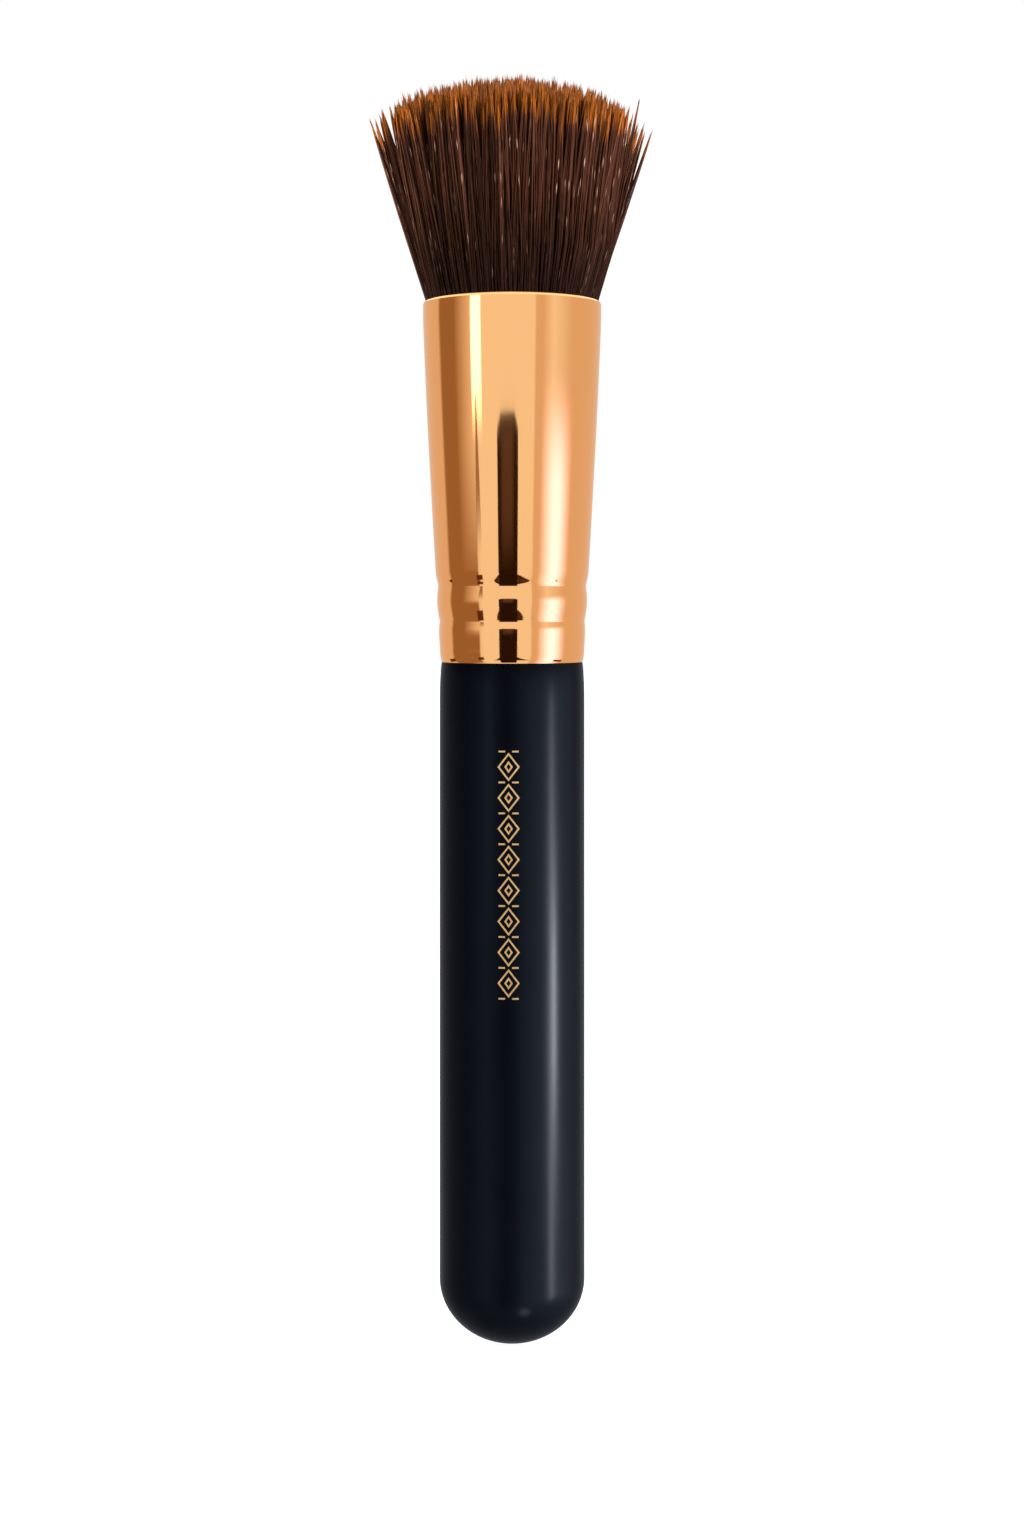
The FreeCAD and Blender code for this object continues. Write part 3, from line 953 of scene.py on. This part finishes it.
def make_table():
    """The shade that the round end of the handle mirrors beneath it, which fades into the room around it."""
    made, tree, output = new_material("table_shade")
    place = add(tree, "TexCoord").outputs["Object"]
    away = add(tree, "VectorMath", {0: place}, operation="LENGTH").outputs["Value"]
    mask = fade(tree, away, TABLE_DARK_RADIUS * MM, TABLE_RADIUS * MM)
    shade = add(tree, "Emission", {"Color": (*TABLE_SHADE, 1)}).outputs[0]
    clear = add(tree, "BsdfTransparent").outputs[0]
    shown = add(tree, "MixShader", {0: mask, 1: shade, 2: clear}).outputs[0]
    tree.links.new(shown, output.inputs["Surface"])
    table = disc("table_shade", TABLE_RADIUS, -TABLE_DROP, made)
    table.visible_camera = table.visible_diffuse = table.visible_shadow = False


def make_studio(lacquered):
    """White surroundings, a pale floor and the light walls that the metal and the lacquered pieces mirror."""
    world = bpy.data.worlds.new("surroundings")
    world.use_nodes = True
    background = world.node_tree.nodes["Background"]
    background.inputs["Color"].default_value = (*grey(SURROUND_LEVEL), 1)
    bpy.context.scene.world = world
    bpy.context.scene.view_settings.view_transform = "Standard"

    made, tree, output = new_material("pale_floor")
    shader = add(tree, "BsdfPrincipled", {
        "Base Color": (*grey(FLOOR_ALBEDO), 1),
        "Roughness": 0.9,
        "Emission Color": (1, 1, 1, 1),
        "Emission Strength": FLOOR_GLOW,
    })
    tree.links.new(shader.outputs["BSDF"], output.inputs["Surface"])
    floor = disc("floor", FLOOR_RADIUS, 0, made)
    floor.visible_glossy = False

    make_table()
    ring = [(azimuth, tuple(share * level for share in COOL)) for azimuth, level in HANDLE_RING]
    ring = light_wall(
        "handle_ring", HANDLE_RING_HEIGHTS, ring, distance=HANDLE_RING_DISTANCE, clear_back=True
    )
    receivers(ring, lacquered, "INCLUDE")

    # Each wall has the heights of its lower and upper edges, and its colours between two azimuths
    walls = [
        light_wall("surround", (-400, 500), SURROUNDINGS),
        light_wall("ceiling_glow", (260, 500), even(-180, 180, CEILING_GLOW), distance=410),
        light_wall(
            "left_streak", (116, 149), even(-51, -37.5, STREAK), distance=70, sides=0.05, ends=(0.42, 0.03)
        ),
        light_wall(
            "left_spike", (98, 125), even(-50, -41, SPIKE), distance=68, ends=(0.5, 0), top=(-46, -45)
        ),
        light_wall("left_low", (-220, 120), even(-105, -50, BOARD), distance=412, sides=0.05, ends=(0, 0.22)),
        light_wall(
            "right_glow", (-300, 141), even(37, 93, RIGHT_GLOW), distance=400, sides=0.5, ends=(0.1, 0.11)
        ),
        light_wall("dark_stand", (-250, 111), even(-20, 8, STAND), distance=380),
        light_wall("stand_cap", (111, 117.5), even(-20, 8, STAND_CAP), distance=380, top=(-15, 3)),
        light_wall(
            "stand_sheen", (55, 114), even(-18, 5, STAND_SHEEN), distance=375, sides=0.3, ends=(0.6, 0.12)
        ),
        light_wall("stand_base", (-90, -12), even(-30, 32, STAND_BASE), distance=385, top=(-20, 9)),
        light_wall("low_middle", (-60, -4), even(-56, -46, LOW_DARK), distance=385),
        light_wall("low_left", (-60, 8), even(-122, -106, LOW_DARK), distance=385),
        light_wall("low_right", (-110, -40), even(72, 90, LOW_DARK_RIGHT), distance=385),
    ]
    for wall in walls:
        receivers(wall, lacquered, "EXCLUDE")


def make_lamp(
    name, azimuth, distance, height, size, energy, pieces, tilt=0.0, colour=LAMP_COLOUR, glossy=True
):
    """A rectangular lamp that faces the axis, tilted down by an angle. Some pieces alone see or shade it."""
    data = bpy.data.lights.new(name, "AREA")
    data.shape = "RECTANGLE"
    data.size, data.size_y = size[0] * MM, size[1] * MM
    data.energy = energy
    data.color = colour
    lamp = link(name, data)
    lamp.location = at(distance, azimuth, height)
    lamp.rotation_euler = (math.radians(90 - tilt), 0, math.radians(azimuth))
    lamp.visible_camera = False
    lamp.visible_glossy = glossy
    receivers(lamp, pieces, "INCLUDE")
    lamp.light_linking.blocker_collection = lamp.light_linking.receiver_collection


make_camera()
metal = rose_gold()
handle_mesh = lathed("lacquered_handle", handle_outline())
handle = piece("lacquered_handle", handle_mesh, black_lacquer(), "lacquered_wood", "handle")
piece("polished_ferrule", lathed("polished_ferrule", ferrule_outline()), metal, "rose_gold", "ferrule")
piece("foil_ornament", ornament(), gold_foil(), "rose_gold")
hair = make_hair(bristle())
make_studio([handle])

# Lamps: azimuth, distance and height of each, its width and height, and its energy in watts
make_lamp("handle_strip", 69, 320, -12, (14, 35), 0.78, [handle])
make_lamp("handle_fill", 64, 320, -22, (36, 190), 0.87, [handle])
make_lamp("handle_side", -36, 320, 75, (80, 110), 0.028, [handle], colour=COOL)
make_lamp("handle_spot", 19, 27.4, -12, (5.5, 5.5), 0.00125, [handle], tilt=-46)
make_lamp("hair_rim", -116, 360, 150, (70, 110), 6.5, hair, glossy=False)
make_lamp("hair_key", 38, 360, 330, (50, 50), 4.3, hair, tilt=28)

inner_finishes = {
    "tenon_glue": plain_noise("amber_adhesive", (0.55, 0.33, 0.10), (0.70, 0.48, 0.20), 300.0, 0.25),
    "resin_plug": plain_noise("cast_resin", (0.50, 0.42, 0.30), (0.62, 0.55, 0.42), 200.0, 0.2),
    "root_tie": plain_noise("waxed_thread", (0.55, 0.50, 0.42), (0.75, 0.70, 0.62), 4000.0, 0.7),
}
for node, finish in inner_finishes.items():
    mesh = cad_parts[node].data
    mesh.materials.clear()
    mesh.materials.append(finish)
